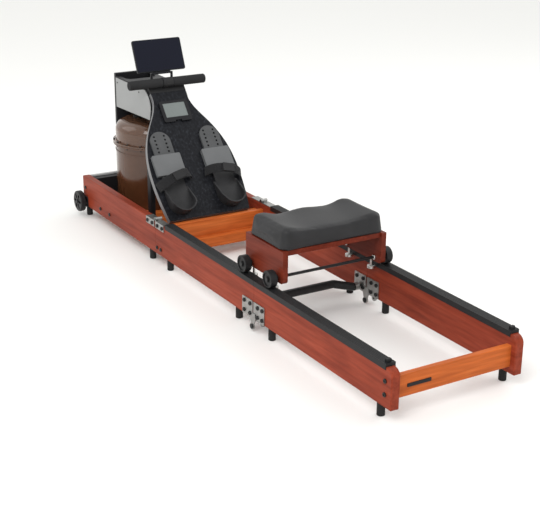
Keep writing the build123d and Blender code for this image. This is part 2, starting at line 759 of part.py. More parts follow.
def transport_wheel(side):
    """Spoked wheel outside one rail, side is -1 on the near side and +1 on the far side."""
    with BuildPart() as wheel:
        with Locations((wheel_cx, side * (wheel_in + t_wheel_w / 2), t_wheel_z)):
            Cylinder(t_wheel_r, t_wheel_w, rotation=(90, 0, 0))
            fillet(wheel.edges().filter_by(GeomType.CIRCLE), 4)
            with PolarLocations(0, 1):
                Cylinder(t_axle_r + run_fit, 2 * t_wheel_w, rotation=(90, 0, 0), mode=Mode.SUBTRACT)
        with BuildSketch(Plane.XZ.offset(-side * (wheel_in + t_wheel_w / 2))):
            with Locations((wheel_cx, t_wheel_z)):
                with PolarLocations(0.54 * t_wheel_r, 6):
                    SlotOverall(0.5 * t_wheel_r, 0.24 * t_wheel_r)
        extrude(amount=t_wheel_w, both=True, mode=Mode.SUBTRACT)
    return wheel


transport_wheel_left = transport_wheel(-1)
save(transport_wheel_left, "transport_wheel_left")
transport_wheel_right = transport_wheel(1)
save(transport_wheel_right, "transport_wheel_right")


def feet(places):
    """Round rubber feet under both rails at the given x places."""
    with BuildPart() as group:
        for x in places:
            with Locations(*both_sides(x, rail_mid_y, 0)):
                Cylinder(foot_r, foot_h, align=(Align.CENTER, Align.CENTER, Align.MIN))
        chamfer(group.edges().group_by(Axis.Z)[0], 1.5)
    return group


front_feet = feet([front_x + foot_in, joint1_x - foot_mid_out])
save(front_feet, "front_feet")
mid_feet = feet([joint1_x + foot_mid_in, joint2_x - foot_c])
save(mid_feet, "mid_feet")
rear_feet = feet([joint2_x + foot_d, rear_x - foot_e])
save(rear_feet, "rear_feet")

# ---------------------------------------------------------------- top hinges, first joint

knuckle = top_leaf_w / 4
outer_knuckles = [half_w - knuckle / 2, half_w - top_leaf_w + knuckle / 2]
mid_knuckle_y = half_w - top_leaf_w / 2


def top_leaf(x_low, bolts):
    """Angle-shaped leaf on a rail's outer top edge, near side, before its knuckles are added."""
    with Locations((x_low + leaf_len / 2, -(half_w - top_leaf_w / 2), rail_top + leaf_t / 2)):
        Box(leaf_len, top_leaf_w, leaf_t)
    with Locations(
        (x_low + leaf_len / 2, -(half_w + leaf_t / 2), rail_top + leaf_t - (top_leaf_drop + leaf_t) / 2)
    ):
        Box(leaf_len, leaf_t, top_leaf_drop + leaf_t)
    with Locations(*side_bolts(bolts, half_w)):
        add(bolt_hole.part, mode=Mode.SUBTRACT)


with BuildPart() as front_leaves:
    top_leaf(top_leaf_front, front_leaf_bolts)
    for y in outer_knuckles:
        with Locations((joint1_x - leaf_gap / 2, -y, rail_top + leaf_t / 2)):
            Box(leaf_gap + 4, knuckle, leaf_t)
        with Locations((joint1_x, -y, pivot1_z)):
            Cylinder(top_knuckle_r, knuckle, rotation=(90, 0, 0))
            Cylinder(top_pin_r + run_fit, knuckle + 1, rotation=(90, 0, 0), mode=Mode.SUBTRACT)
        with Locations((joint1_x - top_knuckle_r - 1, -y, rail_top + top_pivot_h / 2)):
            Box(top_knuckle_r + 2, knuckle, top_pivot_h)
        with Locations((joint1_x, -y, pivot1_z)):
            Cylinder(top_pin_r + run_fit, knuckle + 1, rotation=(90, 0, 0), mode=Mode.SUBTRACT)
    mirror(about=Plane.XZ)
save(front_leaves, "front_leaves")

with BuildPart() as front_bolts:
    with Locations(*side_bolts(front_side_bolts, half_w)):
        add(bolt.part)
    with Locations(*side_bolts(front_leaf_bolts, half_w + leaf_t)):
        add(bolt.part)
save(front_bolts, "front_bolts")

# ---------------------------------------------------------------- middle section

mid_x = joint1_x + joint_gap / 2
mid_rail_len = mid_len - joint_gap
with BuildPart() as mid_rails:
    with Locations(*both_sides(mid_x + mid_rail_len / 2, rail_mid_y, rail_z + rail_h / 2)):
        Box(mid_rail_len, rail_t, rail_h)
    chamfer(mid_rails.edges().filter_by(Axis.X), rail_edge)
    with Locations(*side_bolts(cross_bolts + mid_leaf_bolts + low_mid_bolts, half_w)):
        add(bolt_hole.part, mode=Mode.SUBTRACT)
    with Locations(*inner_bolts(low_mid_bolts, inner_half)):
        add(bolt_hole.part, mode=Mode.SUBTRACT)
save(mid_rails, "mid_rails")


def track(x_low, x_high):
    """Ribbed running track capping both rails between two x places."""
    with BuildPart() as cap:
        with BuildSketch(Plane.YZ.offset(x_low)):
            for side in (-1, 1):
                with Locations((side * rail_mid_y, rail_top + (track_t - track_lip_h) / 2)):
                    Rectangle(rail_t + 2 * track_lip_t, track_t + track_lip_h)
                with Locations((side * rail_mid_y, rail_top - track_lip_h / 2)):
                    Rectangle(rail_t, track_lip_h, mode=Mode.SUBTRACT)
                with Locations((side * rail_mid_y, track_top)):
                    with GridLocations(rail_t / 5, 1, 5, 1):
                        Rectangle(1.2, 1.2, mode=Mode.SUBTRACT)
        extrude(amount=x_high - x_low)
    return cap


mid_tracks = track(joint1_x + track_front, joint2_x - joint_gap / 2)
save(mid_tracks, "mid_tracks")
with BuildPart() as rear_tracks:
    add(track(joint2_x + joint_gap / 2, rear_x - track_rear).part)
    with Locations(*both_sides(rear_x - 40, rail_mid_y, track_top + 3)):
        Box(10, rail_t / 2, 12)
save(rear_tracks, "rear_tracks")

# Cross member with a tall board in front and a thick ledge below it
cross_x = joint1_x + 7
with BuildPart() as mid_cross:
    with Locations((cross_x + 9, 0, rail_z + 53)):
        Box(18, 2 * inner_half, 102)
    with Locations((cross_x + 22, 0, rail_z + 21)):
        Box(44, 2 * inner_half, 38)
    fillet(mid_cross.edges().filter_by(Axis.Y).group_by(Axis.Z)[-1], 3)
save(mid_cross, "mid_cross")


# ---------------------------------------------------------------- low hinges, second joint

lug_layer = leaf_t + layer_gap
rail_mid_plane = Plane.XZ.offset(rail_mid_y)


def low_leaf(x_low, toward, layer, places, bore):
    """Leaf on the near rail's outer face whose lug reaches down to the pin.

    The lug lies against the rail (layer 0) or one leaf further out (layer 1).
    """
    edge = joint2_x + toward * leaf_gap / 2
    with BuildPart() as leaf:
        with BuildSketch(Plane.XZ.offset(half_w)):
            with Locations((x_low + leaf_len / 2, low_leaf_z + low_leaf_h / 2)):
                RectangleRounded(leaf_len, low_leaf_h, 5)
        extrude(amount=leaf_t)
        with BuildSketch(Plane.XZ.offset(half_w)):
            with Locations((edge + toward * 8, low_leaf_z + 11)):
                Rectangle(16, 22)
        extrude(amount=layer * lug_layer + leaf_t)
        with BuildSketch(Plane.XZ.offset(half_w + layer * lug_layer)):
            Polygon(
                (edge, low_leaf_z + 22),
                (edge + toward * 16, low_leaf_z + 22),
                (edge + toward * 16, low_leaf_z),
                (joint2_x + toward * low_knuckle_r * 0.9, pivot2_z),
                (joint2_x - toward * low_knuckle_r * 0.6, pivot2_z),
                align=None,
            )
            with Locations((joint2_x, pivot2_z)):
                Circle(low_knuckle_r)
        extrude(amount=leaf_t)
        with Locations((joint2_x, -half_w, pivot2_z)):
            Cylinder(bore, 40, rotation=(90, 0, 0), mode=Mode.SUBTRACT)
        with Locations(*side_bolts(places, half_w)):
            add(bolt_hole.part, mode=Mode.SUBTRACT)
        mirror(about=rail_mid_plane)
        mirror(about=Plane.XZ)
    return leaf


low_leaves_mid = low_leaf(low_leaf_front, -1, 0, low_mid_bolts, low_pin_r + 0.01)
rear_leaves = low_leaf(low_leaf_rear, 1, 1, low_rear_bolts, low_pin_r + run_fit)
save(rear_leaves, "rear_leaves")

# The middle section's leaves: angles on the first joint, flat leaves on the second
with BuildPart() as mid_leaves:
    top_leaf(top_leaf_rear, mid_leaf_bolts)
    with Locations((joint1_x + leaf_gap / 2 + 2, -mid_knuckle_y, rail_top + leaf_t / 2)):
        Box(leaf_gap + 4, 2 * knuckle - 2 * layer_gap, leaf_t)
    with Locations((joint1_x, -mid_knuckle_y, pivot1_z)):
        Cylinder(top_knuckle_r, 2 * knuckle - 2 * layer_gap, rotation=(90, 0, 0))
    with Locations((joint1_x + top_knuckle_r + 1, -mid_knuckle_y, rail_top + top_pivot_h / 2)):
        Box(top_knuckle_r + 2, 2 * knuckle - 2 * layer_gap, top_pivot_h)
    with Locations((joint1_x, -mid_knuckle_y, pivot1_z)):
        Cylinder(top_pin_r, top_leaf_w, rotation=(90, 0, 0), mode=Mode.SUBTRACT)
    mirror(about=Plane.XZ)
    add(low_leaves_mid.part)
save(mid_leaves, "mid_leaves")

with BuildPart() as mid_bolts:
    with Locations(*side_bolts(cross_bolts, half_w)):
        add(bolt.part)
    with Locations(*side_bolts(mid_leaf_bolts + low_mid_bolts, half_w + leaf_t)):
        add(bolt.part)
    with Locations(*inner_bolts(low_mid_bolts, inner_half - leaf_t)):
        add(bolt.part)
save(mid_bolts, "mid_bolts")

# ---------------------------------------------------------------- lock bar and hinge pins

# Tube bent into a shallow U, its flattened ends turning on two pins on the inner leaves
lock_x = joint2_x - 36.5
lock_z = rail_z + 18
lock_reach = 29.0
lock_rise = 12.0
lock_half = 112.0
lock_r = 14.0
lock_end_t = 4.0
lock_end_r = 9.0
lock_pin_r = 4.0
lock_y = inner_half - leaf_t - bolt_head_h - 2
with BuildPart() as lock_bar:
    with BuildLine(Plane(origin=(lock_x, 0, lock_z), x_dir=(0, 1, 0), z_dir=(lock_rise, 0, lock_reach))):
        reach = (lock_reach**2 + lock_rise**2) ** 0.5
        lock_path = FilletPolyline(
            (-lock_y + lock_end_t - 1, 0),
            (-lock_y + 20, 0),
            (-lock_half, reach),
            (lock_half, reach),
            (lock_y - 20, 0),
            (lock_y - lock_end_t + 1, 0),
            radius=18,
        )
    with BuildSketch(Plane(origin=lock_path @ 0, z_dir=lock_path % 0)):
        Circle(lock_r)
    sweep()
    with Locations(*both_sides(lock_x, lock_y - lock_end_t / 2, lock_z)):
        Cylinder(lock_end_r, lock_end_t, rotation=(90, 0, 0))
        Cylinder(lock_pin_r + run_fit, 2 * lock_end_t, rotation=(90, 0, 0), mode=Mode.SUBTRACT)
save(lock_bar, "lock_bar")

# All pins stay with the middle section: first joint, second joint, lock bar
pin_out = 2 * lug_layer + layer_gap
with BuildPart() as hinge_pins:
    with Locations((joint1_x, -mid_knuckle_y, pivot1_z)):
        Cylinder(top_pin_r, top_leaf_w + 2, rotation=(90, 0, 0))
    with Locations((lock_x, -inner_half + leaf_t, lock_z)):
        Cylinder(
            lock_pin_r, bolt_head_h + 2 + lock_end_t, rotation=(90, 0, 0),
            align=(Align.CENTER, Align.CENTER, Align.MAX),
        )
    for place, turn in (((joint2_x, -half_w, pivot2_z), 90), ((joint2_x, -inner_half, pivot2_z), -90)):
        with Locations(Location(place, (turn, 0, 0))):
            Cylinder(low_pin_r, pin_out + 1, align=(Align.CENTER, Align.CENTER, Align.MIN))
            with Locations((0, 0, pin_out)):
                Cylinder(low_pin_r + 3.5, 2.5, align=(Align.CENTER, Align.CENTER, Align.MIN))
    mirror(about=Plane.XZ)
save(hinge_pins, "hinge_pins")

# ---------------------------------------------------------------- rear section

rear_rail_x = joint2_x + joint_gap / 2
rear_rail_len = rear_len - joint_gap / 2
with BuildPart() as rear_rails:
    with Locations(*both_sides(rear_rail_x + rear_rail_len / 2, rail_mid_y, rail_z + rail_h / 2)):
        Box(rear_rail_len, rail_t, rail_h)
    fillet(rear_rails.edges().filter_by(Axis.Y).group_by(Axis.X)[-1].group_by(Axis.Z)[-1], rail_end_r)
    fillet(rear_rails.edges().filter_by(Axis.Y).group_by(Axis.X)[-1].group_by(Axis.Z)[0], 4)
    chamfer(rear_rails.faces().sort_by(Axis.X)[-2:].edges(), 3)
    with Locations(*side_bolts(low_rear_bolts + end_bolts, half_w)):
        add(bolt_hole.part, mode=Mode.SUBTRACT)
    with Locations(*inner_bolts(low_rear_bolts, inner_half)):
        add(bolt_hole.part, mode=Mode.SUBTRACT)
save(rear_rails, "rear_rails")

end_cross_x = rear_x - 30
with BuildPart() as rear_cross:
    with Locations((end_cross_x, 0, rail_z + 56)):
        Box(20, 2 * inner_half, 68)
    chamfer(rear_cross.edges().filter_by(Axis.Y), 2)
save(rear_cross, "rear_cross")

with BuildPart() as rear_bolts:
    with Locations(*side_bolts(end_bolts, half_w)):
        add(bolt.part)
    with Locations(*side_bolts(low_rear_bolts, half_w + leaf_t)):
        add(bolt.part)
    with Locations(*inner_bolts(low_rear_bolts, inner_half - leaf_t)):
        add(bolt.part)
save(rear_bolts, "rear_bolts")

# ---------------------------------------------------------------- seat

side_out_y = inner_half - seat_side_gap
side_mid_y = side_out_y - seat_side_t / 2
axle_xs = (seat_cx - seat_wheel_base / 2, seat_cx + seat_wheel_base / 2)
with BuildPart() as seat_sides:
    with Locations(*both_sides(seat_cx, side_mid_y, (seat_side_low + seat_side_top) / 2)):
        Box(seat_side_len, seat_side_t, seat_side_top - seat_side_low)
    fillet(seat_sides.edges().filter_by(Axis.Y).group_by(Axis.Z)[0], 12)
    for x in axle_xs:
        with Locations((x, 0, axle_z)):
            Cylinder(seat_axle_r, 2 * half_w, rotation=(90, 0, 0), mode=Mode.SUBTRACT)
save(seat_sides, "seat_sides")

base_t = 16.0
with BuildPart() as seat_base:
    with Locations((seat_cx, 0, seat_side_top - base_t / 2)):
        Box(seat_side_len - 16, 2 * (side_out_y - seat_side_t), base_t)
save(seat_base, "seat_base")

with BuildPart() as seat_pad:
    with BuildSketch(Plane.XY.offset(seat_side_top)):
        with Locations((seat_cx + 2, 0)):
            RectangleRounded(pad_len, 2 * (side_out_y + pad_over), 34)
    extrude(amount=pad_t, taper=pad_taper)
    fillet(seat_pad.edges().group_by(Axis.Z)[-1], 9)
    dish_r = 1300.0
    with Locations((seat_cx + 4, 0, seat_side_top + pad_t + dish_r - pad_dish)):
        Sphere(dish_r, mode=Mode.SUBTRACT)
save(seat_pad, "seat_pad")

wheel_gap = 0.5
wheel_edge_y = rail_mid_y - seat_wheel_w / 2
with BuildPart() as seat_axles:
    for x in axle_xs:
        with Locations((x, 0, axle_z)):
            Cylinder(seat_axle_r, 2 * half_w - 1, rotation=(90, 0, 0))
        with Locations(*both_sides(x, half_w - 1.5, axle_z)):
            Cylinder(seat_axle_r + 3, 2, rotation=(90, 0, 0))
        with Locations(*both_sides(x, (side_out_y + wheel_edge_y - wheel_gap) / 2, axle_z)):
            Cylinder(seat_axle_r + 3, wheel_edge_y - wheel_gap - side_out_y, rotation=(90, 0, 0))
save(seat_axles, "seat_axles")

# Short pins under the seat sides, each ending in a disc that runs beside the rail
with BuildPart() as seat_guides:
    for x in (seat_cx - guide_front, seat_cx + guide_rear):
        with Locations(*both_sides(x, side_mid_y, (guide_low + seat_side_low) / 2)):
            Cylinder(guide_pin_r, seat_side_low - guide_low)
        with Locations(*both_sides(x, side_mid_y, guide_low + guide_disc_t / 2)):
            Cylinder(guide_disc_r, guide_disc_t)
save(seat_guides, "seat_guides")


def seat_wheels(x):
    """The two running wheels of one seat axle."""
    with BuildPart() as wheels:
        with Locations(*both_sides(x, rail_mid_y, axle_z)):
            Cylinder(seat_wheel_r, seat_wheel_w, rotation=(90, 0, 0))
        fillet(wheels.edges().filter_by(GeomType.CIRCLE), 2)
        with Locations(*both_sides(x, rail_mid_y + seat_wheel_w / 2 - 1.5, axle_z)):
            Cylinder(seat_wheel_r - 6, 3, rotation=(90, 0, 0), mode=Mode.SUBTRACT)
            Cylinder(seat_axle_r + 5, 3, rotation=(90, 0, 0))
        with Locations((x, 0, axle_z)):
            Cylinder(seat_axle_r + run_fit, frame_w, rotation=(90, 0, 0), mode=Mode.SUBTRACT)
    return wheels


seat_wheels_front = seat_wheels(axle_xs[0])
save(seat_wheels_front, "seat_wheels_front")
seat_wheels_rear = seat_wheels(axle_xs[1])
save(seat_wheels_rear, "seat_wheels_rear")
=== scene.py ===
import math

import bmesh
import bpy
from mathutils import Matrix, Vector


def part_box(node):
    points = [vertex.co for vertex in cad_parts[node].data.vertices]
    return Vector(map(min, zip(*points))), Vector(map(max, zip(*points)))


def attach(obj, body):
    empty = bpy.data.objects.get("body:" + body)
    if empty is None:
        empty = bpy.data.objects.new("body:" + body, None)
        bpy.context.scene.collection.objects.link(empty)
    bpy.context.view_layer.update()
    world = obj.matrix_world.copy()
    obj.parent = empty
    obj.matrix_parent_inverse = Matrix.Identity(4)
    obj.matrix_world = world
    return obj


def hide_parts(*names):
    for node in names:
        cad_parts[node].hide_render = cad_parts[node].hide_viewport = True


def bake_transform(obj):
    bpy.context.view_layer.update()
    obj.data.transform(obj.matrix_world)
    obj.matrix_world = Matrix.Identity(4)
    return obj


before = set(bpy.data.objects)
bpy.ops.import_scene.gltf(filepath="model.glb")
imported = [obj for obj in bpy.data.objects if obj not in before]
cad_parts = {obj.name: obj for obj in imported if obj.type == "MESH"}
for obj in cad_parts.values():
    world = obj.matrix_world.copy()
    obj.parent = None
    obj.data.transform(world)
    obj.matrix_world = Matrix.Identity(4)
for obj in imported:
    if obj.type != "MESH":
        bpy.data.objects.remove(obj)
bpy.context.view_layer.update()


# Side rails: three pairs of solid cherry boards, planed, rounded at the rear end,
# stained reddish brown and sealed with a satin lacquer. The grain runs along each board.
def object_place(tree, scale, turn=(0, 0, 0)):
    coord = tree.nodes.new("ShaderNodeTexCoord")
    place = tree.nodes.new("ShaderNodeMapping")
    place.inputs["Scale"].default_value = scale
    place.inputs["Rotation"].default_value = turn
    tree.links.new(coord.outputs["Object"], place.inputs["Vector"])
    return place.outputs["Vector"]


def noise(tree, vector, scale, detail=3.0, roughness=0.5, distortion=0.0):
    node = tree.nodes.new("ShaderNodeTexNoise")
    node.inputs["Scale"].default_value = scale
    node.inputs["Detail"].default_value = detail
    node.inputs["Roughness"].default_value = roughness
    node.inputs["Distortion"].default_value = distortion
    tree.links.new(vector, node.inputs["Vector"])
    return node.outputs["Fac"]


def ramp(tree, factor, stops):
    node = tree.nodes.new("ShaderNodeValToRGB")
    while len(node.color_ramp.elements) < len(stops):
        node.color_ramp.elements.new(0.5)
    for element, (place, colour) in zip(node.color_ramp.elements, stops):
        element.position = place
        element.color = (*colour, 1.0)
    tree.links.new(factor, node.inputs["Fac"])
    return node.outputs["Color"]


def bump(tree, shader, height, depth, before=None):
    node = tree.nodes.new("ShaderNodeBump")
    node.inputs["Strength"].default_value = 1.0
    node.inputs["Distance"].default_value = depth
    tree.links.new(height, node.inputs["Height"])
    if before is not None:
        tree.links.new(before, node.inputs["Normal"])
    tree.links.new(node.outputs["Normal"], shader.inputs["Normal"])
    return node.outputs["Normal"]


def rough_range(tree, shader, factor, low, high):
    node = tree.nodes.new("ShaderNodeMapRange")
    node.inputs["To Min"].default_value = low
    node.inputs["To Max"].default_value = high
    tree.links.new(factor, node.inputs["Value"])
    tree.links.new(node.outputs["Result"], shader.inputs["Roughness"])


def new_finish(name, **values):
    mat = bpy.data.materials.new(name)
    mat.use_nodes = True
    shader = mat.node_tree.nodes["Principled BSDF"]
    for key, value in values.items():
        shader.inputs[key.replace("_", " ").title().replace("Ior", "IOR")].default_value = value
    mat.diffuse_color = (0.5, 0.5, 0.5, 1)
    return mat, mat.node_tree, shader


def cherry(name, along, dark, middle, light):
    """Lacquered cherry: wavy growth rings, broad colour drift and short pores, all along one axis."""
    mat, tree, shader = new_finish(name, specular_ior_level=0.12)
    stretch = [9.0, 9.0, 9.0]
    stretch[along] = 1.1
    vector = object_place(tree, stretch)
    rings = noise(tree, vector, 1.6, 5.0, 0.55, 1.3)
    fine = [70.0, 70.0, 70.0]
    fine[along] = 3.0
    fibres = noise(tree, object_place(tree, fine), 1.5, 3.0, 0.6, 0.2)
    blotch = noise(tree, object_place(tree, (3, 3, 3)), 1.2, 2.0, 0.5)
    wood = ramp(tree, rings, [(0.28, dark), (0.52, middle), (0.74, light)])
    threads = ramp(tree, fibres, [(0.30, (0.62, 0.58, 0.56)), (0.62, (1.0, 1.0, 1.0))])
    drift = ramp(tree, blotch, [(0.3, (0.86, 0.82, 0.80)), (0.7, (1.06, 1.04, 1.02))])
    first = tree.nodes.new("ShaderNodeMixRGB")
    first.blend_type = "MULTIPLY"
    first.inputs["Fac"].default_value = 0.75
    second = tree.nodes.new("ShaderNodeMixRGB")
    second.blend_type = "MULTIPLY"
    second.inputs["Fac"].default_value = 0.9
    tree.links.new(wood, first.inputs["Color1"])
    tree.links.new(threads, first.inputs["Color2"])
    tree.links.new(first.outputs["Color"], second.inputs["Color1"])
    tree.links.new(drift, second.inputs["Color2"])
    tree.links.new(second.outputs["Color"], shader.inputs["Base Color"])
    rough_range(tree, shader, fibres, 0.5, 0.34)
    bump(tree, shader, fibres, 0.00012)
    return mat


def paint(mat, *nodes):
    for node in nodes:
        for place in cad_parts[node].material_slots:
            place.material = mat


rail_cherry = cherry("rail_cherry", 0, (0.20, 0.028, 0.012), (0.28, 0.045, 0.020), (0.345, 0.062, 0.030))
paint(rail_cherry, "front_rails", "mid_rails", "rear_rails")


# Cross boards and the tank's platform: the same cherry left a lighter orange,
# screwed between the rails, so their grain runs across the machine.
cross_cherry = cherry("cross_cherry", 1, (0.41, 0.088, 0.016), (0.60, 0.145, 0.030), (0.72, 0.210, 0.052))
paint(cross_cherry, "tank_platform", "front_cross", "mid_cross", "rear_cross")


# Blank plate on the rear cross board: a thin anodised strip with soft corners,
# pressed into the wood with adhesive. It carries no marking.
def moulded(name, base, rough, grain, depth, coat=0.0, spread=0.12, gloss=0.18, **values):
    """Moulded plastic, rubber or powder coat: fine even grain, slight drift in colour and gloss."""
    mat, tree, shader = new_finish(
        name, coat_weight=coat, coat_roughness=0.12, specular_ior_level=gloss, **values
    )
    vector = object_place(tree, (1, 1, 1))
    pits = noise(tree, vector, grain, 2.0, 0.6)
    clouds = noise(tree, vector, 9.0, 4.0, 0.55)
    low = tuple(c * (1 - spread) for c in base)
    high = tuple(c * (1 + spread) for c in base)
    tree.links.new(ramp(tree, clouds, [(0.3, low), (0.7, high)]), shader.inputs["Base Color"])
    rough_range(tree, shader, clouds, rough - 0.05, rough + 0.06)
    bump(tree, shader, pits, depth)
    return mat


def to_object(name, bm, mat, smooth=True):
    bmesh.ops.remove_doubles(bm, verts=bm.verts, dist=1e-6)
    bmesh.ops.recalc_face_normals(bm, faces=bm.faces)
    mesh = bpy.data.meshes.new(name)
    bm.to_mesh(mesh)
    bm.free()
    for face in mesh.polygons:
        face.use_smooth = smooth
    obj = bpy.data.objects.new(name, mesh)
    bpy.context.scene.collection.objects.link(obj)
    mesh.materials.append(mat)
    return obj


def finish_modifiers(obj):
    """Turns the live modifiers into plain mesh."""
    graph = bpy.context.evaluated_depsgraph_get()
    mesh = bpy.data.meshes.new_from_object(obj.evaluated_get(graph))
    obj.modifiers.clear()
    obj.data = mesh
    return obj


def slab(name, centre, size, corner, edge, mat, right=(0, 1, 0), up=(0, 0, 1)):
    """Thin plate with rounded corners in the plane of right and up, its edges softened."""
    right = Vector(right).normalized()
    up = Vector(up).normalized()
    out = right.cross(up)
    wide, high, thick = size
    bm = bmesh.new()
    ring = []
    for cx, cy, start in ((1, 1, 0), (-1, 1, 90), (-1, -1, 180), (1, -1, 270)):
        for step in range(7):
            angle = math.radians(start + step * 15)
            x = cx * (wide / 2 - corner) + corner * math.cos(angle)
            y = cy * (high / 2 - corner) + corner * math.sin(angle)
            ring.append((x, y))
    loops = []
    for depth, inset in (
        (-thick / 2, 0), (thick / 2 - edge, 0), (thick / 2 - edge * 0.3, edge * 0.3), (thick / 2, edge)
    ):
        fx = (wide / 2 - inset) / (wide / 2)
        fy = (high / 2 - inset) / (high / 2)
        loops.append(
            [bm.verts.new(Vector(centre) + right * x * fx + up * y * fy + out * depth) for x, y in ring]
        )
    count = len(ring)
    for low, high_loop in zip(loops, loops[1:]):
        for i in range(count):
            j = (i + 1) % count
            bm.faces.new((low[i], low[j], high_loop[j], high_loop[i]))
    bm.faces.new(loops[0][::-1])
    bm.faces.new(loops[-1])
    obj = to_object(name, bm, mat, smooth=False)
    return obj


black_anodised = moulded("black_anodised", (0.012, 0.012, 0.013), 0.38, 900, 0.00001)
cross_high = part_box("rear_cross")[1]
blank_plate = slab(
    "blank_plate", (
        cross_high[0] + 0.0008, -0.125, 0.095
    ), (0.083, 0.011, 0.002), 0.002, 0.0005, black_anodised
)
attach(blank_plate, "rear_section")


# Front beam, the tall panel on it and its cap: painted board in black,
# with a thin cap laid over the beam and cut back round the tank, coloured pale grey as a painted highlight on
# the beam's lit top edge.
black_paint = moulded("black_paint", (0.016, 0.016, 0.018), 0.42, 420, 0.00004)
painted_highlight_grey = moulded("painted_highlight_grey", (0.50, 0.51, 0.51), 0.46, 700, 0.00003, spread=0.04)
paint(black_paint, "front_beam", "front_post")
# painted highlight: the cap's pale grey stands for the light caught on the top edge of the black beam
paint(painted_highlight_grey, "front_cap")


# Housing over the tank: two pale grey pressed panels and a black lid with a deep recess,
# clipped together round the drive and screwed to the upright panel.
panel_grey = moulded("panel_grey", (0.30, 0.305, 0.305), 0.40, 800, 0.00002, spread=0.035)
paint(panel_grey, "housing_sides")
paint(black_paint, "housing_deck")
inner_black = moulded("inner_black", (0.02, 0.02, 0.021), 0.55, 300, 0.00005)
paint(inner_black, "shaft_bearings", "recoil_case", "strap_drum")


def stud_tree(name):
    """A row of small domed studs: count, start, step, radius and height are inputs."""
    tree = bpy.data.node_groups.new(name, "GeometryNodeTree")
    face = tree.interface
    face.new_socket("Geometry", in_out="OUTPUT", socket_type="NodeSocketGeometry")
    face.new_socket("Count", in_out="INPUT", socket_type="NodeSocketInt")
    face.new_socket("Start", in_out="INPUT", socket_type="NodeSocketVector")
    face.new_socket("Step", in_out="INPUT", socket_type="NodeSocketVector")
    face.new_socket("Turn", in_out="INPUT", socket_type="NodeSocketVector")
    face.new_socket("Radius", in_out="INPUT", socket_type="NodeSocketFloat")
    face.new_socket("Height", in_out="INPUT", socket_type="NodeSocketFloat")
    face.new_socket("Finish", in_out="INPUT", socket_type="NodeSocketMaterial")
    given = tree.nodes.new("NodeGroupInput")
    result = tree.nodes.new("NodeGroupOutput")
    line = tree.nodes.new("GeometryNodeMeshLine")
    ball = tree.nodes.new("GeometryNodeMeshUVSphere")
    ball.inputs["Segments"].default_value = 14
    ball.inputs["Rings"].default_value = 8
    flat = tree.nodes.new("GeometryNodeTransform")
    size = tree.nodes.new("ShaderNodeCombineXYZ")
    spread = tree.nodes.new("GeometryNodeInstanceOnPoints")
    real = tree.nodes.new("GeometryNodeRealizeInstances")
    dress = tree.nodes.new("GeometryNodeSetMaterial")
    link = tree.links.new
    link(given.outputs["Count"], line.inputs["Count"])
    link(given.outputs["Start"], line.inputs["Start Location"])
    link(given.outputs["Step"], line.inputs["Offset"])
    link(given.outputs["Radius"], size.inputs["X"])
    link(given.outputs["Radius"], size.inputs["Y"])
    link(given.outputs["Height"], size.inputs["Z"])
    link(size.outputs["Vector"], flat.inputs["Scale"])
    link(ball.outputs["Mesh"], flat.inputs["Geometry"])
    link(line.outputs["Mesh"], spread.inputs["Points"])
    link(flat.outputs["Geometry"], spread.inputs["Instance"])
    link(given.outputs["Turn"], spread.inputs["Rotation"])
    link(spread.outputs["Instances"], real.inputs["Geometry"])
    link(real.outputs["Geometry"], dress.inputs["Geometry"])
    link(given.outputs["Finish"], dress.inputs["Material"])
    link(dress.outputs["Geometry"], result.inputs["Geometry"])
    return tree


studs = stud_tree("stud_row")


def stud_row(name, count, start, step, turn, radius, height, mat):
    obj = bpy.data.objects.new(name, bpy.data.meshes.new(name))
    bpy.context.scene.collection.objects.link(obj)
    mod = obj.modifiers.new("studs", "NODES")
    mod.node_group = studs
    wanted = {
        "Count": count, "Start": start, "Step": step, "Turn": turn, "Radius": radius, "Height": height,
        "Finish": mat
    }
    for item in studs.interface.items_tree:
        if item.item_type == "SOCKET" and item.in_out == "INPUT":
            mod[item.identifier] = wanted[item.name]
    finish_modifiers(obj)
    for face in obj.data.polygons:
        face.use_smooth = True
    return obj


def join(name, parts):
    """One mesh from several objects that all sit at the origin."""
    bm = bmesh.new()
    mats = []
    for part in parts:
        start = len(bm.faces)
        bm.from_mesh(part.data)
        bm.faces.ensure_lookup_table()
        mat = next(finish for finish in part.data.materials if finish)
        if mat not in mats:
            mats.append(mat)
        for face in bm.faces[start:]:
            face.material_index = mats.index(mat)
        bpy.data.objects.remove(part)
    mesh = bpy.data.meshes.new(name)
    bm.to_mesh(mesh)
    bm.free()
    obj = bpy.data.objects.new(name, mesh)
    bpy.context.scene.collection.objects.link(obj)
    for mat in mats:
        mesh.materials.append(mat)
    return obj


screw_black = moulded("screw_black", (0.02, 0.02, 0.02), 0.32, 600, 0.00002)
side_low, side_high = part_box("housing_sides")
panel_screws = join("panel_screws", [
    stud_row(f"screws_{i}", 3, (side_low[0] + 0.014, sign * 0.0833, side_high[2] - 0.018), (0.10, 0, 0),
             (math.pi / 2, 0, 0), 0.0036, 0.0014, screw_black)
    for i, sign in enumerate((-1, 1))
])
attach(panel_screws, "frame")


# Water tank: two spun shells of smoky brown clear plastic, bolted together at a flange
# with a rubber ring between. The lower one is darker: its brown tint is partly smoke in the plastic and
# partly a painted reflection of the wood platform and impeller. The domed top catches the light.
def smoky(name, tint, passes, rough, coat):
    mat, tree, shader = new_finish(
        name, ior=1.49, transmission_weight=passes, coat_weight=coat, coat_roughness=0.05
    )
    vector = object_place(tree, (1, 1, 1))
    haze = noise(tree, vector, 14.0, 4.0, 0.6, 0.4)
    low = tuple(c * 0.82 for c in tint)
    tree.links.new(ramp(tree, haze, [(0.3, low), (0.7, tint)]), shader.inputs["Base Color"])
    rough_range(tree, shader, haze, rough * 0.6, rough * 1.5)
    bump(tree, shader, noise(tree, object_place(tree, (6, 6, 1)), 3.0, 1.0), 0.0003)
    return mat
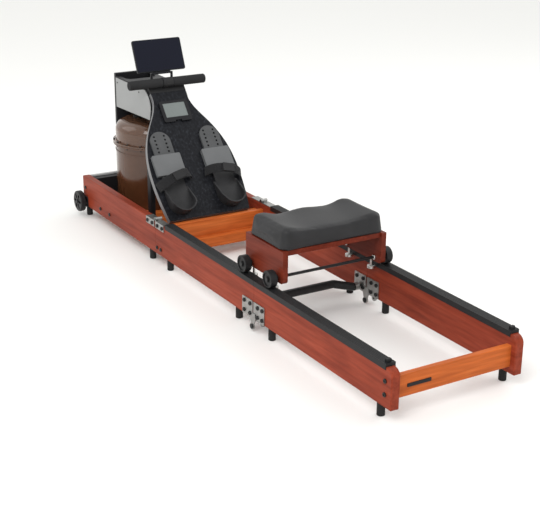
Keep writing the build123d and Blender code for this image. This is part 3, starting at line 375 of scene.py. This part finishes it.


# painted reflection: the lower shell's dark brown tint also stands in for the wood platform and impeller
# reflected in it
paint(smoky("smoky_lower_with_painted_reflection", (0.10, 0.040, 0.018), 0.15, 0.16, 0.25), "tank_lower")
paint(smoky("smoky_upper", (0.27, 0.135, 0.080), 0.65, 0.08, 0.25), "tank_upper")
paint(moulded("seal_rubber", (0.02, 0.02, 0.02), 0.7, 300, 0.00004), "tank_gasket")
paint(moulded("plug_black", (0.02, 0.02, 0.02), 0.4, 500, 0.00003), "fill_plug")
paint(moulded("paddle_grey", (0.06, 0.05, 0.045), 0.5, 300, 0.00004), "impeller")


# Hinge leaves and the strap's roller: rolled steel with a fine brushed
# lay. The lay runs along the machine, and small scratches cross it.
def brushed(name, base, rough, along=0):
    mat, tree, shader = new_finish(name, metallic=1.0)
    stretch = [260.0, 260.0, 260.0]
    stretch[along] = 8.0
    lay = noise(tree, object_place(tree, stretch), 1.5, 3.0, 0.6)
    wear = noise(tree, object_place(tree, (1, 1, 1)), 60.0, 3.0, 0.6)
    low = tuple(c * 0.8 for c in base)
    tree.links.new(ramp(tree, wear, [(0.3, low), (0.7, base)]), shader.inputs["Base Color"])
    rough_range(tree, shader, lay, rough - 0.08, rough + 0.12)
    bump(tree, shader, lay, 0.00003)
    return mat


leaf_steel = brushed("leaf_steel", (0.40, 0.40, 0.39), 0.36)
paint(leaf_steel, "front_leaves", "mid_leaves", "rear_leaves")
paint(brushed("plain_steel", (0.6, 0.6, 0.59), 0.28, 1), "guide_roller")
paint(
    moulded("bolt_black", (0.018, 0.018, 0.018), 0.3, 500, 0.00003), "front_bolts", "mid_bolts",
    "rear_bolts", "tank_bolts", "hinge_pins"
)


# Foot board: thick plywood faced in black-stained open-grain veneer under satin lacquer.
# The sawn edge is sealed in grey. Steel ribs and two struts hold it from behind.
slope = math.radians(50)
board_foot = Vector((-0.382, 0, 0.145))
board_up = Vector((-math.cos(slope), 0, math.sin(slope)))
board_out = Vector((math.sin(slope), 0, math.cos(slope)))


def on_board(s, y, n):
    """Point s up the slope from the board's lower edge, y across and n out of its face, in metres."""
    return board_foot + board_up * s + Vector((0, y, 0)) + board_out * n


def board_veneer():
    mat, tree, shader = new_finish("board_veneer", specular_ior_level=0.1)
    vector = object_place(tree, (1, 1, 1), (0, 0, 0))
    turned = object_place(tree, (6.0, 90.0, 90.0), (0, slope, 0))
    grain = noise(tree, turned, 1.3, 4.0, 0.62, 0.5)
    clouds = noise(tree, vector, 7.0, 3.0, 0.5)
    dark = ramp(
        tree, grain,
        [(0.30, (0.006, 0.006, 0.008)), (0.55, (0.012, 0.013, 0.016)), (0.75, (0.032, 0.034, 0.042))]
    )
    coord = tree.nodes.new("ShaderNodeTexCoord")
    facing = tree.nodes.new("ShaderNodeVectorMath")
    facing.operation = "DOT_PRODUCT"
    facing.inputs[1].default_value = board_out
    size = tree.nodes.new("ShaderNodeMath")
    size.operation = "ABSOLUTE"
    edge = tree.nodes.new("ShaderNodeMath")
    edge.operation = "GREATER_THAN"
    edge.inputs[1].default_value = 0.6
    tree.links.new(coord.outputs["Normal"], facing.inputs[0])
    tree.links.new(facing.outputs["Value"], size.inputs[0])
    tree.links.new(size.outputs["Value"], edge.inputs[0])
    mix = tree.nodes.new("ShaderNodeMixRGB")
    mix.inputs["Color1"].default_value = (0.20, 0.20, 0.205, 1)
    tree.links.new(edge.outputs["Value"], mix.inputs["Fac"])
    tree.links.new(dark, mix.inputs["Color2"])
    tree.links.new(mix.outputs["Color"], shader.inputs["Base Color"])
    rough_range(tree, shader, clouds, 0.30, 0.44)
    bump(tree, shader, grain, 0.00016)
    return mat


paint(board_veneer(), "foot_board")
paint(black_paint, "board_supports", "deck_brackets", "wheel_brackets")
paint(moulded("rest_black", (0.02, 0.02, 0.021), 0.45, 420, 0.00005), "handle_rest")


# Console: a gloss black bezel screwed to the board round a flat liquid-crystal panel
# whose resting face is a dull grey green.
paint(moulded("bezel_black", (0.012, 0.012, 0.014), 0.22, 900, 0.00001, coat=0.08), "console_bezel")
paint(
    moulded("panel_green_grey", (0.17, 0.19, 0.186), 0.28, 1200, 0.000005, coat=0.1, spread=0.03),
    "console_screen"
)


# Foot rests: a grey textured bridge fixed to the board, and under it a sliding plate,
# grey and pierced at the top, moulded in black as a cup round the heel.
rest_grey = moulded("rest_grey", (0.13, 0.134, 0.138), 0.55, 520, 0.00012, spread=0.08)
paint(rest_grey, "foot_clamps")


def slider_finish():
    mat, tree, shader = new_finish("slider_two_tone", specular_ior_level=0.2)
    coord = tree.nodes.new("ShaderNodeTexCoord")
    height = tree.nodes.new("ShaderNodeVectorMath")
    height.operation = "DOT_PRODUCT"
    height.inputs[1].default_value = board_up
    tree.links.new(coord.outputs["Object"], height.inputs[0])
    step = tree.nodes.new("ShaderNodeMath")
    step.operation = "GREATER_THAN"
    step.inputs[1].default_value = board_foot.dot(board_up) + 0.205
    tree.links.new(height.outputs["Value"], step.inputs[0])
    vector = object_place(tree, (1, 1, 1))
    pits = noise(tree, vector, 520, 2.0, 0.6)
    clouds = noise(tree, vector, 16.0, 4.0, 0.55)
    black = ramp(tree, clouds, [(0.3, (0.020, 0.020, 0.021)), (0.7, (0.034, 0.034, 0.036))])
    pale = ramp(tree, clouds, [(0.3, (0.060, 0.062, 0.064)), (0.7, (0.080, 0.082, 0.085))])
    mix = tree.nodes.new("ShaderNodeMixRGB")
    tree.links.new(step.outputs["Value"], mix.inputs["Fac"])
    tree.links.new(black, mix.inputs["Color1"])
    tree.links.new(pale, mix.inputs["Color2"])
    tree.links.new(mix.outputs["Color"], shader.inputs["Base Color"])
    rough_range(tree, shader, clouds, 0.34, 0.5)
    bump(tree, shader, pits, 0.00008)
    return mat


paint(slider_finish(), "heel_slider_left", "heel_slider_right")


# Foot straps: 38 mm woven webbing arched over each foot, its ends tucked to the board,
# with a moulded buckle on top and a line of stitching either side of it.
def webbing(name, across, along, base):
    """Woven band: ribs across it and the bars of the weave along it, in the band's own UV map."""
    mat, tree, shader = new_finish(name, sheen_weight=0.06, sheen_roughness=0.5, specular_ior_level=0.1)
    uv = tree.nodes.new("ShaderNodeUVMap")
    place = tree.nodes.new("ShaderNodeMapping")
    place.inputs["Scale"].default_value = (along, across, 1)
    tree.links.new(uv.outputs["UV"], place.inputs["Vector"])
    ribs = tree.nodes.new("ShaderNodeTexWave")
    ribs.bands_direction = "X"
    ribs.inputs["Scale"].default_value = 1.0
    ribs.inputs["Distortion"].default_value = 0.6
    ribs.inputs["Detail"].default_value = 1.0
    bars = tree.nodes.new("ShaderNodeTexWave")
    bars.bands_direction = "Y"
    bars.inputs["Scale"].default_value = 1.0
    bars.inputs["Distortion"].default_value = 0.4
    tree.links.new(place.outputs["Vector"], ribs.inputs["Vector"])
    tree.links.new(place.outputs["Vector"], bars.inputs["Vector"])
    both = tree.nodes.new("ShaderNodeMath")
    both.operation = "MULTIPLY"
    tree.links.new(ribs.outputs["Fac"], both.inputs[0])
    tree.links.new(bars.outputs["Fac"], both.inputs[1])
    low = tuple(c * 0.55 for c in base)
    tree.links.new(ramp(tree, both.outputs["Value"], [(0.1, low), (0.8, base)]), shader.inputs["Base Color"])
    shader.inputs["Roughness"].default_value = 0.82
    bump(tree, shader, both.outputs["Value"], 0.0003)
    return mat


def band(name, path, outs, across, width, thick, mat):
    """Flat strap swept along a path. outs holds the outward direction at each point."""
    bm = bmesh.new()
    layer = bm.loops.layers.uv.new("UVMap")
    across = Vector(across).normalized()
    profile = []
    half, edge = width / 2, thick / 2
    for x, z in ((-half, -0.5), (-half - edge * 0.4, 0), (-half, 0.5), (-half * 0.9, 0.56), (0, 0.6),
        (half * 0.9, 0.56),
                 (half, 0.5), (half + edge * 0.4, 0), (half, -0.5), (0, -0.55)):
        profile.append((x, z * thick))
    rows, lengths, total = [], [], 0.0
    for i, (point, out) in enumerate(zip(path, outs)):
        if i:
            total += (point - path[i - 1]).length
        lengths.append(total)
        rows.append([bm.verts.new(point + across * x + out * z) for x, z in profile])
    n = len(profile)
    for i in range(len(rows) - 1):
        for j in range(n):
            k = (j + 1) % n
            face = bm.faces.new((rows[i][j], rows[i][k], rows[i + 1][k], rows[i + 1][j]))
            for loop, (row, col) in zip(face.loops, ((i, j), (i, k), (i + 1, k), (i + 1, j))):
                loop[layer].uv = (lengths[row], profile[col][0])
    bm.faces.new(rows[0][::-1])
    bm.faces.new(rows[-1])
    obj = to_object(name, bm, mat)
    return obj


strap_black = webbing("strap_black", 380, 420, (0.030, 0.030, 0.032))
thread_black = moulded("thread_black", (0.05, 0.05, 0.052), 0.7, 900, 0.00002)
strap_turn = math.radians(15)
foot_y = 0.104
arch_half = 0.0720
arch_rise = 0.0605
loops, stitches = [], []
for side in (-1, 1):
    points, outs = [], []
    over = Vector((0, math.cos(strap_turn), 0)) - board_up * side * math.sin(strap_turn)
    beside = board_up * math.cos(strap_turn) + Vector((0, side * math.sin(strap_turn), 0))
    middle = on_board(0.151, side * foot_y, 0)
    for step in range(33):
        angle = math.radians(4 + 172 * step / 32)
        w = -arch_half * math.cos(angle)
        n = arch_rise * math.sin(angle)
        points.append(middle + over * w + board_out * n)
        outs.append((over * (w / arch_half ** 2) + board_out * (n / arch_rise ** 2)).normalized())
    loops.append(band(f"loop_{side}", points, outs, beside, 0.036, 0.0024, strap_black))
    for part in (-1, 1):
        for rank in (-1, 1):
            angle = math.radians(90 + part * 38)
            w = -arch_half * math.cos(angle) + rank * 0.002
            n = arch_rise * math.sin(angle) + 0.0016
            start = middle + over * w + board_out * n - beside * 0.014
            stitches.append(
                stud_row("stitch", 8, start, beside * 0.004, (0, -slope, 0), 0.0009, 0.0005, thread_black)
            )
foot_loops = join("foot_loops", loops)
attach(foot_loops, "frame")
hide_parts("foot_straps")
strap_stitches = join("strap_stitches", stitches)
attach(strap_stitches, "frame")
paint(moulded("buckle_black", (0.02, 0.02, 0.021), 0.35, 500, 0.00004), "strap_buckles")


# Handle: a straight steel bar in two closed-cell foam grips, gripped in the middle by a clamp
# that takes the end of the pull strap.
foam = moulded("foam_black", (0.020, 0.020, 0.021), 0.78, 900, 0.00022)
paint(foam, "handle_grips")
paint(moulded("bar_black", (0.02, 0.02, 0.021), 0.38, 500, 0.00004), "handle_bar")


# Pull strap: flat woven band from the drum, up through the lid and over the roller to the handle.
# It pays out straight as the handle is pulled.
eye_low, eye_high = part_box("pull_strap")
roller_low, roller_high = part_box("guide_roller")
strap_z = (eye_low[2] + eye_high[2]) / 2
wheel_x = (roller_low[0] + roller_high[0]) / 2
wheel_z = (roller_low[2] + roller_high[2]) / 2
turn_r = strap_z - wheel_z
points = [Vector((wheel_x - turn_r, 0, wheel_z - 0.05 + 0.01 * i)) for i in range(5)]
outs = [Vector((-1, 0, 0)) for _ in points]
for step in range(1, 10):
    angle = math.radians(180 - step * 10)
    points.append(Vector((wheel_x + turn_r * math.cos(angle), 0, wheel_z + turn_r * math.sin(angle))))
    outs.append(Vector((math.cos(angle), 0, math.sin(angle))))
for step in range(1, 13):
    points.append(Vector((wheel_x + (eye_high[0] - wheel_x) * step / 12, 0, strap_z)))
    outs.append(Vector((0, 0, 1)))
pull_band = band("pull_band", points, outs, (0, 1, 0), 0.0245, 0.0014, strap_black)
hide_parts("pull_strap")
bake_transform(pull_band)


# Display: a slim tablet-like slab hung between two struts, with one sheet of dark glass
# bonded to its face.
paint(moulded("display_back", (0.012, 0.013, 0.016), 0.32, 900, 0.00001), "display")
lean = math.radians(23)
face_out = Vector((math.cos(lean), 0, math.sin(lean)))
face_up = Vector((-math.sin(lean), 0, math.cos(lean)))
pivot = Vector((-0.771, 0, 0.604))
display_glass = slab(
    "display_glass", pivot + face_up * 0.0705 + face_out * 0.0093, (0.198, 0.119, 0.0010), 0.006, 0.0003,
    moulded("navy_glass", (0.0045, 0.0055, 0.014), 0.09, 1500, 0.000002, coat=0.0, spread=0.02), up=face_up,
)
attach(display_glass, "display")


# Transport wheels, feet and tracks: black moulded nylon, rubber pucks turned from rod,
# and an extruded cap that clips over each rail.
paint(
    moulded("nylon_black", (0.017, 0.017, 0.018), 0.42, 380, 0.00007), "transport_wheel_left",
    "transport_wheel_right"
)
paint(moulded("foot_rubber", (0.018, 0.018, 0.018), 0.72, 300, 0.0001), "front_feet", "mid_feet", "rear_feet")


def track_finish():
    mat, tree, shader = new_finish("track_black", specular_ior_level=0.18)
    lines = noise(tree, object_place(tree, (3, 700, 700)), 1.0, 2.0)
    clouds = noise(tree, object_place(tree, (1, 6, 6)), 5.0, 4.0, 0.6)
    tree.links.new(
        ramp(tree, clouds, [(0.3, (0.010, 0.010, 0.011)), (0.7, (0.018, 0.018, 0.019))]),
        shader.inputs["Base Color"]
    )
    rough_range(tree, shader, clouds, 0.36, 0.54)
    bump(tree, shader, lines, 0.00004)
    return mat


paint(track_finish(), "mid_tracks", "rear_tracks")


# Lock bar: steel tube bent to a shallow U, powder coated black,
# its flattened ends left bright where they turn on their pins.
def lock_finish():
    mat, tree, shader = new_finish("lock_two_tone", specular_ior_level=0.22)
    coord = tree.nodes.new("ShaderNodeTexCoord")
    split = tree.nodes.new("ShaderNodeSeparateXYZ")
    tree.links.new(coord.outputs["Object"], split.inputs["Vector"])
    size = tree.nodes.new("ShaderNodeMath")
    size.operation = "ABSOLUTE"
    tree.links.new(split.outputs["Y"], size.inputs[0])
    step = tree.nodes.new("ShaderNodeMath")
    step.operation = "GREATER_THAN"
    step.inputs[1].default_value = 0.178
    tree.links.new(size.outputs["Value"], step.inputs[0])
    clouds = noise(tree, object_place(tree, (1, 1, 1)), 90.0, 3.0)
    mix = tree.nodes.new("ShaderNodeMixRGB")
    tree.links.new(step.outputs["Value"], mix.inputs["Fac"])
    tree.links.new(
        ramp(tree, clouds, [(0.3, (0.014, 0.014, 0.015)), (0.7, (0.022, 0.022, 0.023))]),
        mix.inputs["Color1"]
    )
    tree.links.new(
        ramp(tree, clouds, [(0.3, (0.40, 0.40, 0.39)), (0.7, (0.55, 0.55, 0.54))]), mix.inputs["Color2"]
    )
    tree.links.new(mix.outputs["Color"], shader.inputs["Base Color"])
    tree.links.new(step.outputs["Value"], shader.inputs["Metallic"])
    rough_range(tree, shader, clouds, 0.32, 0.46)
    bump(tree, shader, clouds, 0.00003)
    return mat


paint(lock_finish(), "lock_bar")


# Seat carriage: two cherry cheeks and a board under the pad, rolling on four black wheels
# on steel rods, with short steel guide discs hanging beside the rails.
paint(
    cherry("cheek_cherry", 0, (0.12, 0.018, 0.008), (0.17, 0.027, 0.013), (0.21, 0.038, 0.019)),
    "seat_sides", "seat_base"
)
paint(moulded("rod_black", (0.016, 0.016, 0.017), 0.3, 500, 0.00003), "seat_axles")
paint(
    moulded("roller_black", (0.015, 0.015, 0.016), 0.4, 600, 0.00006), "seat_wheels_front",
    "seat_wheels_rear"
)
nut_steel = brushed("nut_steel", (0.62, 0.62, 0.6), 0.25, 1)
paint(nut_steel, "seat_guides")
nut_x = [sum(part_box(n)[i][0] for i in (0, 1)) / 2 for n in ("seat_wheels_front", "seat_wheels_rear")]
axle_height = (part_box("seat_axles")[0][2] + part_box("seat_axles")[1][2]) / 2
cheek_inner_y = 0.177
seat_nuts = []
for side in (-1, 1):
    for x in nut_x:
        bm = bmesh.new()
        rings = []
        for depth, size in ((0.0, 0.0092), (0.0045, 0.0092), (0.0056, 0.0082)):
            rings.append([
                bm.verts.new(
                    (x + size * math.cos(math.radians(a)),
                        side * (cheek_inner_y - depth), axle_height + size * math.sin(math.radians(a)))
                )
                for a in range(0, 360, 60)
            ])
        for low, high in zip(rings, rings[1:]):
            for i in range(6):
                bm.faces.new((low[i], low[(i + 1) % 6], high[(i + 1) % 6], high[i]))
        bm.faces.new(rings[0])
        bm.faces.new(rings[-1])
        seat_nuts.append(to_object("nut", bm, nut_steel, smooth=False))
seat_nuts = join("seat_nuts", seat_nuts)
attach(seat_nuts, "seat")


# Seat pad: one soft moulding in self-skinned foam, hollowed for each thigh with a low ridge
# between, its skin finely pebbled.
def clean_copy(name, node, mat):
    bm = bmesh.new()
    bm.from_mesh(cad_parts[node].data)
    bmesh.ops.remove_doubles(bm, verts=bm.verts, dist=1e-5)
    return to_object(name, bm, mat)


def pebbled():
    mat, tree, shader = new_finish("pad_skin", specular_ior_level=0.3)
    vector = object_place(tree, (1, 1, 1))
    cells = tree.nodes.new("ShaderNodeTexVoronoi")
    cells.inputs["Scale"].default_value = 620
    tree.links.new(vector, cells.inputs["Vector"])
    clouds = noise(tree, vector, 11.0, 4.0, 0.55)
    tree.links.new(
        ramp(tree, clouds, [(0.3, (0.013, 0.013, 0.014)), (0.7, (0.021, 0.021, 0.023))]),
        shader.inputs["Base Color"]
    )
    rough_range(tree, shader, clouds, 0.40, 0.52)
    bump(tree, shader, cells.outputs["Distance"], 0.00009)
    return mat


pad = clean_copy("seat_cushion", "seat_pad", pebbled())
low, high = (Vector(c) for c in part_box("seat_pad"))
middle = (low + high) / 2
for vertex in pad.data.vertices:
    for axis in (0, 1):
        vertex.co[axis] = middle[axis] + (vertex.co[axis] - middle[axis]) * (
            1 - 0.004 / (high[axis] - low[axis]) * 2
        )
remesh = pad.modifiers.new("remesh", "REMESH")
remesh.mode = "VOXEL"
remesh.voxel_size = 0.005
finish_modifiers(pad)
pad.data.materials.clear()
pad.data.materials.append(bpy.data.materials["pad_skin"])
rest = [v.co.copy() for v in pad.data.vertices]
cloth = pad.modifiers.new("cloth", "CLOTH")
cloth.settings.use_pressure = True
cloth.settings.uniform_pressure_force = 4
cloth.settings.effector_weights.gravity = 0
cloth.settings.quality = 5
cloth.settings.mass = 0.2
cloth.point_cache.frame_start = 1
cloth.point_cache.frame_end = 20
for step in range(1, 21):
    bpy.context.scene.frame_set(step)
finish_modifiers(pad)
bpy.context.scene.frame_set(1)
cap = 0.004
for vertex, start in zip(pad.data.vertices, rest):
    move = vertex.co - start
    if move.length > cap:
        vertex.co = start + move.normalized() * cap
    up = max(0.0, min(1.0, (vertex.co.z - low.z) / (high.z - low.z)))
    along = (vertex.co.x - middle.x) / ((high.x - low.x) / 2)
    hollow = math.exp(-((abs(vertex.co.y) - 0.085) / 0.048) ** 2)
    ridge = math.exp(-(vertex.co.y / 0.030) ** 2)
    sag = math.exp(-(vertex.co.y / 0.125) ** 4)
    front = max(0.0, -along) ** 2
    rear = max(0.0, along) ** 2
    vertex.co.z -= up ** 3 * (
        0.012 * hollow * front + 0.009 * sag * (1 - 0.2 * ridge) * rear + 0.003 * hollow
    )
    vertex.co.x -= 0.004 * hollow * up * along
    vertex.co.z = max(vertex.co.z, low.z)
smooth = pad.modifiers.new("smooth", "SMOOTH")
smooth.factor = 0.5
smooth.iterations = 3
fine = pad.modifiers.new("fine", "SUBSURF")
fine.levels = fine.render_levels = 1
finish_modifiers(pad)
for face in pad.data.polygons:
    face.use_smooth = True
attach(pad, "seat")
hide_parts("seat_pad")


# Room: a plain pale floor, soft light from a pale sky and three large panels,
# and the camera a little to the near side of the rear end.
bm = bmesh.new()
bmesh.ops.create_grid(bm, x_segments=1, y_segments=1, size=40.0)
floor = to_object(
    "floor", bm, new_finish("floor_pale", base_color=(0.90, 0.90, 0.885, 1), roughness=0.9)[0], smooth=False
)
world = bpy.data.worlds.new("pale_sky")
world.use_nodes = True
world.node_tree.nodes["Background"].inputs["Color"].default_value = (1.0, 1.0, 0.985, 1)
world.node_tree.nodes["Background"].inputs["Strength"].default_value = 0.97
bpy.context.scene.world = world
for name, place, size, power in (
    ("key_panel", (2.2, -2.6, 3.2), 2.4, 75), (
        "fill_panel", (-2.4, -2.4, 2.6), 2.4, 20
    ), ("back_panel", (0.4, 3.4, 2.6), 3.0, 45),
):
    lamp = bpy.data.lights.new(name, "AREA")
    lamp.size = size
    lamp.energy = power
    obj = bpy.data.objects.new(name, lamp)
    obj.location = place
    obj.rotation_euler = (Vector((0, 0, 0.2)) - Vector(place)).to_track_quat("-Z", "Y").to_euler()
    bpy.context.scene.collection.objects.link(obj)

camera = bpy.data.objects.new("camera", bpy.data.cameras.new("camera"))
bpy.context.scene.collection.objects.link(camera)
camera.location = (3.38402, -2.03205, 1.56495)
azimuth, elevation, roll = (math.radians(a) for a in (58.657, 20.789, 0.633))
back = Vector(
    (math.sin(azimuth) * math.cos(elevation), -math.cos(azimuth) * math.cos(elevation), math.sin(elevation))
)
side = (-back).cross(Vector((0, 0, 1))).normalized()
upward = side.cross(-back)
across = side * math.cos(roll) + upward * math.sin(roll)
top = upward * math.cos(roll) - side * math.sin(roll)
camera.rotation_euler = Matrix((across, top, back)).transposed().to_euler()
camera.data.sensor_width = 36
camera.data.lens = 80.52
camera.data.clip_end = 200
bpy.context.scene.camera = camera
bpy.context.scene.view_settings.view_transform = "Standard"
